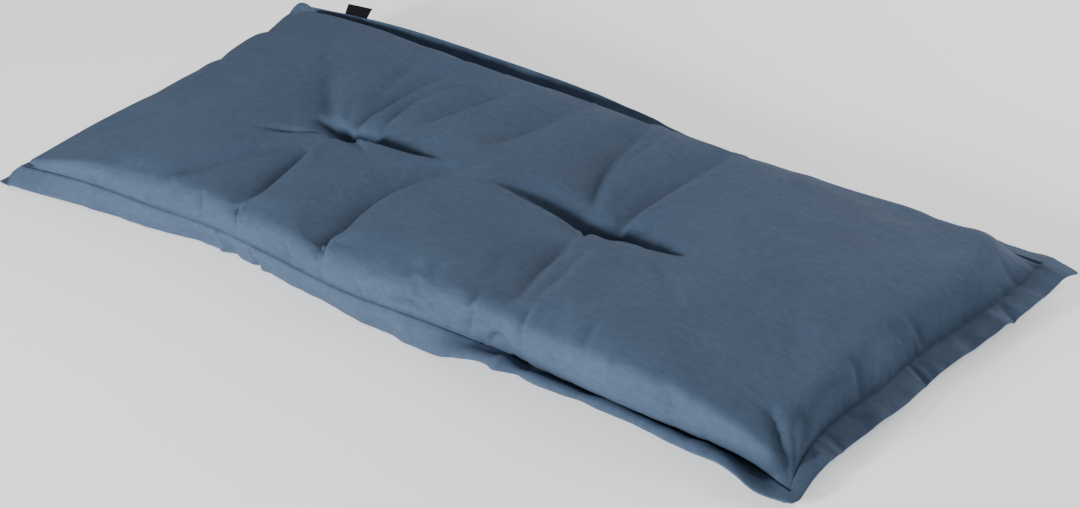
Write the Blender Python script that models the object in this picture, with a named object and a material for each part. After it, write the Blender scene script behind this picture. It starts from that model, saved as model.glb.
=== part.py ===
# Bench cushion: a filled cloth pad with a flat flange sewn round it and two tufts that pull its top down,
# and a blank woven tab standing in the flange of the far side.
# X runs along the pad, -Y is its front side, Z is up. It lies on z = 0, and the origin is under its middle.
#
# The pad is worked out on a grid of plan coordinates (a along X, b along Y, metres). Inside the seam a grid
# point is carried up the wall, over the shoulder and across the crown; outside it lies on the flange.

from collections import namedtuple
import math

import bpy
import numpy as np

SEAM_HALF_LENGTH = 0.572
SEAM_HALF_WIDTH = 0.236
FLANGE_WIDTH = 0.030
FLANGE_THICKNESS = 0.003
WALL_BAND = 0.046         # width in plan coordinates of the wall and shoulder, inside the seam
STRAIGHT_SHARE = 0.30     # part of the wall's cloth that runs straight before it turns over
UPRIGHT_LEAN = 90.0       # lean in degrees of an upright wall
GENTLE_LEAN = 40.0        # the same for the flattest wall
OVERHANG_LEAN = 170.0     # the same at the foot of a fully overhanging wall
OVERHANG_SHARE = 0.30     # part of the wall's cloth over which the overhang dies out
UNDERSIDE_REACH = 0.050   # how far in from the seam the underside meets the ground
UNDERSIDE_POWER = 1.7
GROUND_CLEARANCE = 0.0004
CENTRING = (0.0003, -0.0040, 0.0)  # moves the middle of the bounding box over the origin

# Grid: plan coordinates of the lines across the flange and the wall, and the spacing between them
FLANGE_STEPS = 2
WALL_LINES = (0.004, 0.012, 0.022, 0.034)
CROWN_CELLS_LENGTH = 76
CROWN_CELLS_WIDTH = 30
CLOSE_DENSITY = 1.0       # how much denser the grid is at a tuft
CLOSE_REACH = 0.060
UNDERSIDE_STEPS = 3

# The seam and flange of each side: where along it (m), how far the seam lies out from the middle, its
# height, how the wall above leans, and how far the flange points below level at its root and at its edge
Station = namedtuple("Station", "along out height lean root edge width")
FRONT_SIDE = (
    Station(-0.572, 0.238, 0.022, 84, 36, 44, 0.030),
    Station(-0.460, 0.231, 0.029, 90, 56, 64, 0.030),
    Station(-0.330, 0.226, 0.030, 92, 66, 70, 0.030),
    Station(-0.230, 0.221, 0.030, 92, 74, 70, 0.030),
    Station(-0.130, 0.227, 0.030, 92, 62, 74, 0.030),
    Station(0.000, 0.238, 0.030, 94, 60, 76, 0.030),
    Station(0.130, 0.232, 0.030, 100, 58, 62, 0.030),
    Station(0.240, 0.222, 0.024, 130, 32, 56, 0.030),
    Station(0.360, 0.214, 0.017, 170, 12, 40, 0.030),
    Station(0.450, 0.213, 0.016, 170, 10, 38, 0.030),
    Station(0.520, 0.224, 0.014, 150, 10, 32, 0.029),
    Station(0.572, 0.240, 0.012, 110, 10, 24, 0.014),
)
RIGHT_SIDE = (
    Station(-0.236, 0.586, 0.012, 90, 10, 24, 0.012),
    Station(-0.200, 0.572, 0.017, 90, 12, 30, 0.020),
    Station(-0.150, 0.562, 0.020, 88, 14, 26, 0.028),
    Station(-0.060, 0.564, 0.021, 84, 12, 24, 0.030),
    Station(0.010, 0.560, 0.021, 82, 14, 26, 0.030),
    Station(0.090, 0.565, 0.021, 78, 6, 22, 0.030),
    Station(0.170, 0.571, 0.021, 70, 6, 12, 0.030),
    Station(0.236, 0.571, 0.020, 56, 0, 0, 0.030),
)
FAR_SIDE = (
    Station(-0.572, 0.240, 0.049, 90, -44, -58, 0.030),
    Station(-0.420, 0.245, 0.050, 94, -46, -62, 0.031),
    Station(-0.230, 0.245, 0.048, 94, -44, -58, 0.031),
    Station(-0.080, 0.241, 0.042, 92, -36, -52, 0.031),
    Station(0.080, 0.234, 0.035, 90, -26, -38, 0.030),
    Station(0.240, 0.227, 0.027, 86, -8, -24, 0.030),
    Station(0.400, 0.226, 0.023, 80, 0, -8, 0.030),
    Station(0.500, 0.228, 0.022, 70, -6, -14, 0.030),
    Station(0.572, 0.232, 0.020, 56, 0, 0, 0.030),
)
LEFT_SIDE = (
    Station(-0.236, 0.570, 0.022, 80, 32, 40, 0.030),
    Station(-0.120, 0.560, 0.028, 84, 40, 60, 0.030),
    Station(0.000, 0.560, 0.034, 86, 36, 58, 0.030),
    Station(0.120, 0.568, 0.040, 88, 24, 44, 0.030),
    Station(0.236, 0.574, 0.047, 86, -30, -36, 0.030),
)

# Height of the crown over the ground along the front shoulder, the middle and the far shoulder
CrownLine = namedtuple("CrownLine", "along front middle far")
CROWN = (
    CrownLine(-0.540, 0.046, 0.066, 0.085),
    CrownLine(-0.460, 0.057, 0.077, 0.088),
    CrownLine(-0.340, 0.066, 0.083, 0.088),
    CrownLine(-0.200, 0.069, 0.084, 0.085),
    CrownLine(-0.050, 0.071, 0.084, 0.079),
    CrownLine(0.110, 0.073, 0.082, 0.068),
    CrownLine(0.260, 0.075, 0.082, 0.068),
    CrownLine(0.400, 0.075, 0.080, 0.062),
    CrownLine(0.540, 0.066, 0.064, 0.050),
)
SHOULDER_LINE = 0.190     # distance of the shoulder heights from the middle
CROWN_LIMIT = 1.15        # how far past the shoulder lines the crown's curve is followed, as a share
LEAST_RISE = 0.004        # the crown stands at least this far over the seam

# Corners: how far the crown is drawn down there and its reach, and how round the flange's corner is, 0 to 1
Corner = namedtuple("Corner", "along across drop reach roundness")
CORNERS = (
    Corner(-0.572, -0.236, 0.024, 0.090, 0.0),
    Corner(-0.572, 0.236, 0.008, 0.060, 0.9),
    Corner(0.572, -0.236, 0.030, 0.085, 1.0),
    Corner(0.572, 0.236, 0.026, 0.100, 0.0),
)

# Tufts: place, depth, and reach along and across the pad
Tuft = namedtuple("Tuft", "along across depth reach_along reach_across")
TUFTS = (
    Tuft(-0.200, -0.012, 0.032, 0.055, 0.048),
    Tuft(0.190, -0.010, 0.036, 0.055, 0.048),
)
TUFT_ROUNDING = 0.03      # rounds the bottom of a tuft, as a share of its reach, squared

# Folds: each runs through three points of the grid (a, b), with its depth at each of them and its width
Fold = namedtuple("Fold", "start_a start_b middle_a middle_b end_a end_b start_depth middle_depth end_depth width")
FOLDS = (
    # from the left tuft
    Fold(-0.205, -0.012, -0.245, -0.014, -0.290, -0.026, 0.016, 0.013, 0.000, 0.010),
    Fold(-0.225, -0.024, -0.275, -0.050, -0.315, -0.076, 0.006, 0.004, 0.000, 0.008),
    Fold(-0.205, -0.020, -0.245, -0.082, -0.300, -0.174, 0.009, 0.006, 0.001, 0.010),
    Fold(-0.200, -0.024, -0.198, -0.110, -0.184, -0.190, 0.012, 0.007, 0.009, 0.011),
    Fold(-0.208, -0.005, -0.240, 0.014, -0.278, 0.044, 0.011, 0.006, 0.000, 0.009),
    Fold(-0.215, -0.005, -0.290, 0.018, -0.362, 0.082, 0.008, 0.006, 0.001, 0.015),
    Fold(-0.205, 0.000, -0.216, 0.070, -0.204, 0.160, 0.013, 0.008, 0.003, 0.010),
    Fold(-0.245, 0.045, -0.268, 0.110, -0.276, 0.185, 0.004, 0.006, 0.004, 0.013),
    Fold(-0.165, 0.040, -0.128, 0.085, -0.112, 0.160, 0.003, 0.006, 0.003, 0.013),
    # between the tufts, and the long fold in the middle of the front half
    Fold(-0.198, -0.012, 0.000, -0.021, 0.188, -0.010, 0.017, 0.007, 0.022, 0.014),
    Fold(-0.014, -0.035, -0.032, -0.110, -0.016, -0.198, 0.001, 0.009, 0.015, 0.011),
    # from the right tuft
    Fold(0.194, -0.012, 0.250, -0.013, 0.322, -0.027, 0.016, 0.006, 0.000, 0.010),
    Fold(0.192, -0.020, 0.218, -0.110, 0.222, -0.192, 0.012, 0.008, 0.004, 0.013),
    Fold(0.232, -0.077, 0.245, -0.130, 0.246, -0.196, 0.002, 0.004, 0.003, 0.009),
    Fold(0.189, -0.002, 0.200, 0.085, 0.212, 0.192, 0.013, 0.008, 0.006, 0.011),
    Fold(0.162, 0.010, 0.108, 0.094, 0.090, 0.192, 0.009, 0.007, 0.006, 0.013),
    Fold(0.145, 0.070, 0.121, 0.140, 0.121, 0.192, 0.002, 0.004, 0.004, 0.009),
    # at the front right corner, and at the left end
    Fold(0.520, -0.196, 0.540, -0.202, 0.556, -0.196, 0.003, 0.007, 0.004, 0.009),
    Fold(-0.566, 0.048, -0.545, 0.050, -0.515, 0.056, 0.006, 0.006, 0.000, 0.009),
    Fold(-0.566, 0.135, -0.545, 0.134, -0.515, 0.130, 0.004, 0.005, 0.000, 0.010),
)
FOLD_BOTTOM = 0.0025      # radius that rounds the bottom of a fold
FOLD_SHOULDER = 0.35      # how far the cloth stands up beside a fold, as a share of its depth
FOLD_SHOULDER_REACH = 2.6  # how wide that is, in widths of the fold
FOLD_FADE = 0.010         # distance from the seam over which the folds die out
FOLD_SAMPLES = 81

# The woven tab in the far side's flange
TAB_FROM = -0.506
TAB_TO = -0.465
TAB_HEIGHT = 0.0145
TAB_THICKNESS = 0.0016
TAB_GAP = 0.0003
TAB_STEPS = 4


def smooth_through(where, stations, values):
    """Smooth curve through the stations: cubic pieces, each with the slopes of its neighbours."""
    slopes = np.gradient(values, stations)
    where = np.clip(where, stations[0], stations[-1])
    piece = np.clip(np.searchsorted(stations, where) - 1, 0, len(stations) - 2)
    span = stations[piece + 1] - stations[piece]
    t = (where - stations[piece]) / span
    start = values[piece] * (1 + 2 * t) * (1 - t) ** 2
    end = values[piece + 1] * t * t * (3 - 2 * t)
    leave = slopes[piece] * span * t * (1 - t) ** 2
    arrive = slopes[piece + 1] * span * t * t * (t - 1)
    return start + end + leave + arrive


def column(table, name, where):
    """One column of a table, read at the given places along its first column."""
    rows = np.array(table, float)
    return smooth_through(where, rows[:, 0], rows[:, table[0]._fields.index(name)])


def wall_profile(lean):
    """Cloth of unit length from the seam: it starts at the lean angle and turns level at its end.

    Returns the stations along the cloth, how far in it has come and how far up."""
    along = np.linspace(0, 1, 129)
    turn = np.clip((along - STRAIGHT_SHARE) / (1 - STRAIGHT_SHARE), 0, 1)
    level_off = 1 - turn * turn * (3 - 2 * turn)
    angle = np.radians(min(lean, UPRIGHT_LEAN)) * level_off
    angle = angle + np.radians(max(lean - UPRIGHT_LEAN, 0)) * np.exp(-along / OVERHANG_SHARE)
    step = along[1] - along[0]
    inward = np.concatenate(([0], np.cumsum((np.cos(angle[1:]) + np.cos(angle[:-1])) / 2 * step)))
    upward = np.concatenate(([0], np.cumsum((np.sin(angle[1:]) + np.sin(angle[:-1])) / 2 * step)))
    return along, inward, upward


GENTLE_WALL = wall_profile(GENTLE_LEAN)
UPRIGHT_WALL = wall_profile(UPRIGHT_LEAN)
OVERHANGING_WALL = wall_profile(OVERHANG_LEAN)


def crown_height(a, b):
    """Height of the crown: three long lines of the table joined across by a parabola, corners drawn down."""
    front = column(CROWN, "front", a)
    middle = column(CROWN, "middle", a)
    far = column(CROWN, "far", a)
    t = np.clip(b / SHOULDER_LINE, -CROWN_LIMIT, CROWN_LIMIT)
    height = middle + (far - front) / 2 * t + ((far + front) / 2 - middle) * t * t
    for corner in CORNERS:
        away = np.hypot(a - corner.along, b - corner.across)
        height = height - corner.drop * np.exp(-((away / corner.reach) ** 2))
    return height


def tuft_pull(a, b):
    """Depth that the tufts pull the crown down: a rounded cusp at each one."""
    pull = np.zeros(a.shape)
    for tuft in TUFTS:
        away = np.hypot((a - tuft.along) / tuft.reach_along, (b - tuft.across) / tuft.reach_across)
        rounded = np.sqrt(away * away + TUFT_ROUNDING) - math.sqrt(TUFT_ROUNDING)
        pull = pull + tuft.depth * np.exp(-rounded)
    return pull


def rise_share(from_seam):
    """Share of the crown's height that an upright wall has reached at a distance from its seam."""
    stations, _, upward = UPRIGHT_WALL
    return np.interp(np.clip(from_seam / WALL_BAND, 0, 1), stations, upward) / upward[-1]


def wall(side, along, from_seam, height, fullness):
    """Wall above one side's seam: how far in a point lies, how far in the wall ends, and its rise as a share.

    The wall is a mix of the gentle, upright and overhanging profiles by its lean. Where the other side's
    seam cuts it off (fullness 0) its points are evenly spaced."""
    share = np.clip(from_seam / WALL_BAND, 0, 1)
    lean = column(side, "lean", along)
    overhang = np.clip((lean - UPRIGHT_LEAN) / (OVERHANG_LEAN - UPRIGHT_LEAN), 0, 1) * fullness
    gentle = np.clip((UPRIGHT_LEAN - lean) / (UPRIGHT_LEAN - GENTLE_LEAN), 0, 1)
    inset, full_inset, rise, full_rise = 0, 0, 0, 0
    for weight, (stations, inward, upward) in (
        (gentle, GENTLE_WALL),
        (1 - gentle - overhang, UPRIGHT_WALL),
        (overhang, OVERHANGING_WALL),
    ):
        inset = inset + weight * np.interp(share, stations, inward)
        rise = rise + weight * np.interp(share, stations, upward)
        full_inset = full_inset + weight * inward[-1]
        full_rise = full_rise + weight * upward[-1]
    scale = (height - column(side, "height", along)) / full_rise
    placed = share * WALL_BAND * (1 - fullness) + inset * scale * fullness
    placed_end = WALL_BAND * (1 - fullness) + full_inset * scale * fullness
    return placed, placed_end, rise / full_rise


def place_between(low_side, high_side, across, position, half, height, fullness):
    """Real position along one axis: in from the seam of the nearer side, and even between the shoulders."""
    low_out = -column(low_side, "out", across)
    high_out = column(high_side, "out", across)
    low_inset, low_full, low_rise = wall(low_side, across, half + position, height, fullness)
    high_inset, high_full, high_rise = wall(high_side, across, half - position, height, fullness)
    shoulder = half - WALL_BAND
    even = np.clip((position + shoulder) / (2 * shoulder), 0, 1)
    placed = (low_out + low_full) * (1 - even) + (high_out - high_full) * even
    placed = np.where(position < -shoulder, low_out + low_inset, placed)
    placed = np.where(position > shoulder, high_out - high_inset, placed)
    return placed, low_rise * high_rise


def nearer_side(low_side, high_side, along, position, name):
    """A column of whichever of two facing sides is nearer."""
    return np.where(position < 0, column(low_side, name, along), column(high_side, name, along))


def pad_surface(a, b):
    """Top of the pad inside the seam, without folds, and the seam itself for points beyond it."""
    inner_a = np.clip(a, -SEAM_HALF_LENGTH, SEAM_HALF_LENGTH)
    inner_b = np.clip(b, -SEAM_HALF_WIDTH, SEAM_HALF_WIDTH)
    from_end = SEAM_HALF_LENGTH - np.abs(inner_a)
    from_side = SEAM_HALF_WIDTH - np.abs(inner_b)
    end_seam = nearer_side(LEFT_SIDE, RIGHT_SIDE, inner_b, inner_a, "height")
    side_seam = nearer_side(FRONT_SIDE, FAR_SIDE, inner_a, inner_b, "height")
    near_end = (from_side + 1e-6) / (from_side + from_end + 2e-6)
    seam = end_seam * near_end + side_seam * (1 - near_end)
    height = np.maximum(crown_height(inner_a, inner_b), np.maximum(end_seam, side_seam) + LEAST_RISE)
    x, rise_a = place_between(LEFT_SIDE, RIGHT_SIDE, inner_b, inner_a, SEAM_HALF_LENGTH, height,
                              rise_share(from_side))
    y, rise_b = place_between(FRONT_SIDE, FAR_SIDE, inner_a, inner_b, SEAM_HALF_WIDTH, height,
                              rise_share(from_end))
    z =seam + (height - tuft_pull(inner_a, inner_b) - seam) * rise_a * rise_b
    return np.stack([x, y, z], axis=-1)


def flange_offset(side, along, reach):
    """How far out and down a flange point lies from the seam, and its slope, at a share of the width."""
    root = np.radians(column(side, "root", along))
    edge = np.radians(column(side, "edge", along))
    width = column(side, "width", along) * reach
    angle = root + (edge - root) * reach / 2
    return width * np.cos(angle), width * np.sin(angle), root + (edge - root) * reach


def flange_reach(a, b):
    """Shares of the flange's width past the end seam and past the side seam, rounded at the corners."""
    past_end = np.clip(np.abs(a) - SEAM_HALF_LENGTH, 0, None) / FLANGE_WIDTH
    past_side = np.clip(np.abs(b) - SEAM_HALF_WIDTH, 0, None) / FLANGE_WIDTH
    roundness = np.zeros(past_end.shape)
    for corner in CORNERS:
        here = (np.sign(a) == np.sign(corner.along)) & (np.sign(b) == np.sign(corner.across))
        roundness = np.where(here, corner.roundness, roundness)
    round_end = past_end * np.sqrt(1 - past_side ** 2 / 2)
    round_side = past_side * np.sqrt(1 - past_end ** 2 / 2)
    return (past_end + (round_end - past_end) * roundness,
            past_side + (round_side - past_side) * roundness)


def flange_surface(a, b, face):
    """Flange at grid coordinates a, b: its seam point carried out, and half its thickness up (1) or down (-1)."""
    seam = pad_surface(a, b)
    inner_a = np.clip(a, -SEAM_HALF_LENGTH, SEAM_HALF_LENGTH)
    inner_b = np.clip(b, -SEAM_HALF_WIDTH, SEAM_HALF_WIDTH)
    past_end, past_side = flange_reach(a, b)
    points = seam.copy()
    normal = np.zeros(seam.shape)
    normal[..., 2] = 1.0
    for low, high, along, position, past, half, axis in (
        (LEFT_SIDE, RIGHT_SIDE, inner_b, a, past_end, SEAM_HALF_LENGTH, 0),
        (FRONT_SIDE, FAR_SIDE, inner_a, b, past_side, SEAM_HALF_WIDTH, 1),
    ):
        out_low, down_low, slope_low = flange_offset(low, along, past)
        out_high, down_high, slope_high = flange_offset(high, along, past)
        is_low = position < 0
        points[..., axis] += np.where(is_low, -out_low, out_high)
        points[..., 2] -= np.where(is_low, down_low, down_high)
        slope = np.where(is_low, slope_low, slope_high) * (half - np.abs(position) < 1e-9)
        normal[..., axis] = np.where(is_low, -1, 1) * np.sin(slope)
        normal[..., 2] *= np.cos(slope)
    normal /= np.linalg.norm(normal, axis=-1, keepdims=True)
    points[..., 2] = np.maximum(points[..., 2], FLANGE_THICKNESS / 2 + GROUND_CLEARANCE)
    points = points + normal * FLANGE_THICKNESS / 2 * face
    points[..., 2] = np.maximum(points[..., 2], GROUND_CLEARANCE)
    return points


def through_three(start, middle, end, t):
    """Parabola that passes its three values at t = 0, 0.5 and 1."""
    return start * (1 - t) * (1 - 2 * t) + middle * 4 * t * (1 - t) + end * t * (2 * t - 1)


def fold_depth(a, b):
    """Depth of the folds: a groove along each fold's curve, with the cloth standing up beside it."""
    grooves = np.zeros(a.shape)
    shoulders = np.zeros(a.shape)
    t = np.linspace(0, 1, FOLD_SAMPLES)
    for fold in FOLDS:
        line_a = through_three(fold.start_a, fold.middle_a, fold.end_a, t)
        line_b = through_three(fold.start_b, fold.middle_b, fold.end_b, t)
        line_depth = through_three(fold.start_depth, fold.middle_depth, fold.end_depth, t)
        away = np.hypot(a[..., None] - line_a, b[..., None] - line_b)
        depth = np.clip(line_depth, 0, None)[away.argmin(axis=-1)]
        distance = away.min(axis=-1)
        rounded = np.sqrt(distance ** 2 + FOLD_BOTTOM ** 2) - FOLD_BOTTOM
        groove = depth * (1 + FOLD_SHOULDER) * np.exp(-rounded / fold.width)
        grooves = grooves + groove ** 3
        beside = np.exp(-(distance / (FOLD_SHOULDER_REACH * fold.width)) ** 2)
        shoulders = shoulders + depth * FOLD_SHOULDER * beside
    return np.cbrt(grooves) - shoulders


def grid_lines(half, count, close_places):
    """Grid coordinates along one axis: close together over the wall and near the given places."""
    shoulder = half - WALL_BAND
    fine = np.linspace(-shoulder, shoulder, 2001)
    density = np.ones(fine.shape)
    for place in close_places:
        density += CLOSE_DENSITY * np.exp(-((fine - place) / CLOSE_REACH) ** 2)
    total = np.concatenate(([0], np.cumsum((density[1:] + density[:-1]) / 2)))
    crown = np.interp(np.linspace(0, total[-1], count + 1), total, fine)
    wall_lines = half - np.array(WALL_LINES)
    flange = half + FLANGE_WIDTH * np.arange(FLANGE_STEPS, -1, -1) / FLANGE_STEPS
    outer = np.concatenate([flange, wall_lines])
    return np.concatenate([-outer, crown, outer[::-1]])


def grid_normals(points):
    """Unit normals of a grid of points, facing up and out."""
    normals = np.cross(np.gradient(points, axis=0), np.gradient(points, axis=1))
    return normals / np.maximum(np.linalg.norm(normals, axis=-1, keepdims=True), 1e-12)


def top_points(a, b):
    """Top of the whole pad: the flange outside the seam, the folded crown inside it."""
    from_seam = np.minimum(SEAM_HALF_LENGTH - np.abs(a), SEAM_HALF_WIDTH - np.abs(b))
    crown = pad_surface(a, b)
    fading = np.clip(from_seam / FOLD_FADE, 0, 1)
    crown = crown - grid_normals(crown) * (fold_depth(a, b) * fading)[..., None]
    return np.where((from_seam > 1e-9)[..., None], crown, flange_surface(a, b, 1))


def ring_of(rows, columns, inset):
    """Grid places of the closed ring that lies `inset` lines in from the grid's edge, anticlockwise."""
    low_i, high_i = inset, rows - 1 - inset
    low_j, high_j = inset, columns - 1 - inset
    ring = [(i, low_j) for i in range(low_i, high_i)]
    ring += [(high_i, j) for j in range(low_j, high_j)]
    ring += [(i, high_j) for i in range(high_i, low_i, -1)]
    ring += [(low_i, j) for j in range(high_j, low_j, -1)]
    return ring


def build_pad():
    """The filled solid: top grid, rim, flange's underside, lower wall and flat underside."""
    lines_a = grid_lines(SEAM_HALF_LENGTH, CROWN_CELLS_LENGTH, [tuft.along for tuft in TUFTS])
    lines_b = grid_lines(SEAM_HALF_WIDTH, CROWN_CELLS_WIDTH, [TUFTS[0].across])
    a, b = np.meshgrid(lines_a, lines_b, indexing="ij")
    top = top_points(a, b)
    rows, columns = a.shape
    verts = [tuple(point) for point in top.reshape(-1, 3)]
    index = np.arange(rows * columns).reshape(rows, columns)
    faces = []
    for i in range(rows - 1):
        for j in range(columns - 1):
            faces.append((index[i, j], index[i + 1, j], index[i + 1, j + 1], index[i, j + 1]))

    under = flange_surface(a, b, -1)
    under_index = {}
    for inset in range(FLANGE_STEPS + 1):
        for place in ring_of(rows, columns, inset):
            under_index[place] = len(verts)
            verts.append(tuple(under[place]))
    for i in range(rows - 1):
        for j in range(columns - 1):
            corners = ((i, j), (i, j + 1), (i + 1, j + 1), (i + 1, j))
            if all(corner in under_index for corner in corners):
                faces.append(tuple(under_index[corner] for corner in corners))

    rim = ring_of(rows, columns, 0)
    for here, there in zip(rim, rim[1:] + rim[:1]):
        faces.append((index[there], index[here], under_index[here], under_index[there]))

    seam_ring = ring_of(rows, columns, FLANGE_STEPS)
    last = [under_index[place] for place in seam_ring]
    seam_points = np.array([under[place] for place in seam_ring])
    for step in range(1, UNDERSIDE_STEPS + 1):
        share = step / UNDERSIDE_STEPS
        ring_points = seam_points.copy()
        ring_points[:, 0] *= 1 - UNDERSIDE_REACH * share / SEAM_HALF_LENGTH
        ring_points[:, 1] *= 1 - UNDERSIDE_REACH * share / SEAM_HALF_WIDTH
        ring_points[:, 2] *= (1 - share) ** UNDERSIDE_POWER
        ring = list(range(len(verts), len(verts) + len(ring_points)))
        verts.extend(tuple(point) for point in ring_points)
        for k in range(len(ring)):
            following = (k + 1) % len(ring)
            faces.append((last[k], ring[k], ring[following], last[following]))
        last = ring
    middle = len(verts)
    verts.append((0.0, 0.0, 0.0))
    for k in range(len(last)):
        faces.append((last[(k + 1) % len(last)], last[k], middle))
    return verts, faces


def build_tab():
    """Flat woven tab: it starts just past the flange's edge and carries on in the flange's own direction."""
    a = np.linspace(TAB_FROM, TAB_TO, TAB_STEPS + 1)
    b = np.full(a.shape, SEAM_HALF_WIDTH + FLANGE_WIDTH)
    edge = (flange_surface(a, b, 1) + flange_surface(a, b, -1)) / 2
    rise = np.radians(-column(FAR_SIDE, "edge", a))
    outward = np.stack([np.zeros(a.shape), np.cos(rise), np.sin(rise)], axis=-1)
    through = np.stack([np.zeros(a.shape), -np.sin(rise), np.cos(rise)], axis=-1)
    foot = edge + outward * TAB_GAP
    head = foot + outward * TAB_HEIGHT
    half = through * TAB_THICKNESS / 2
    loops = np.stack([foot - half, head - half, head + half, foot + half], axis=1)
    verts = [tuple(point) for point in loops.reshape(-1, 3)]
    faces = [(3, 2, 1, 0)]
    for k in range(TAB_STEPS):
        for side in range(4):
            here = 4 * k + side
            there = 4 * k + (side + 1) % 4
            faces.append((here, there, there + 4, here + 4))
    last = 4 * TAB_STEPS
    faces.append((last, last + 1, last + 2, last + 3))
    return verts, faces


def cloth_material(name, colour, roughness):
    """Plain Principled material of a woven cloth."""
    material = bpy.data.materials.new(name)
    material.use_nodes = True
    shader = material.node_tree.nodes["Principled BSDF"]
    shader.inputs["Base Color"].default_value = (*colour, 1.0)
    shader.inputs["Roughness"].default_value = roughness
    shader.inputs["Metallic"].default_value = 0.0
    return material


def add_object(name, verts, faces, material):
    """Mesh object with smooth shading."""
    mesh = bpy.data.meshes.new(name)
    placed = (np.array(verts) + CENTRING).tolist()
    mesh.from_pydata(placed, [], [tuple(map(int, face)) for face in faces])
    mesh.shade_smooth()
    mesh.materials.append(material)
    piece = bpy.data.objects.new(name, mesh)
    bpy.context.scene.collection.objects.link(piece)


def main():
    for old in list(bpy.data.objects):
        bpy.data.objects.remove(old, do_unlink=True)
    add_object("cushion", *build_pad(), cloth_material("pad_cloth", (0.085, 0.120, 0.180), 0.9))
    add_object("tab", *build_tab(), cloth_material("tab_ribbon", (0.012, 0.012, 0.014), 0.75))


main()
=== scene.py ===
import bpy
import numpy as np
from mathutils import Matrix, Vector


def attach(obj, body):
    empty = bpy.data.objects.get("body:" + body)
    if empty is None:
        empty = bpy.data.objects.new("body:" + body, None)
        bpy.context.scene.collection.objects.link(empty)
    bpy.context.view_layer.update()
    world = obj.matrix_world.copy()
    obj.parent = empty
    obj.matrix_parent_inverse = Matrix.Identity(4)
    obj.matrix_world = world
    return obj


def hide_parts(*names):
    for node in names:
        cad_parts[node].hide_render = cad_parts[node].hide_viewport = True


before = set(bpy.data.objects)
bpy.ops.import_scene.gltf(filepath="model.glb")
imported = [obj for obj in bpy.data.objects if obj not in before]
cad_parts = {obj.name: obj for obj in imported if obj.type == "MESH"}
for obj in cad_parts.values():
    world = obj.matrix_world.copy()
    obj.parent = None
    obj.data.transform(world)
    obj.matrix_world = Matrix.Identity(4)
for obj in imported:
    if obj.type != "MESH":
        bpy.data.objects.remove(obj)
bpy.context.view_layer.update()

# The bench cushion lies on its back, X along it, -Y its front side, Z up, metres.
# The pad is a surface over flat panel coordinates: a along X and b along Y. Inside the seam a point goes up
# the wall, over the shoulder and across the crown; past the seam it lies on the flange.

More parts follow.
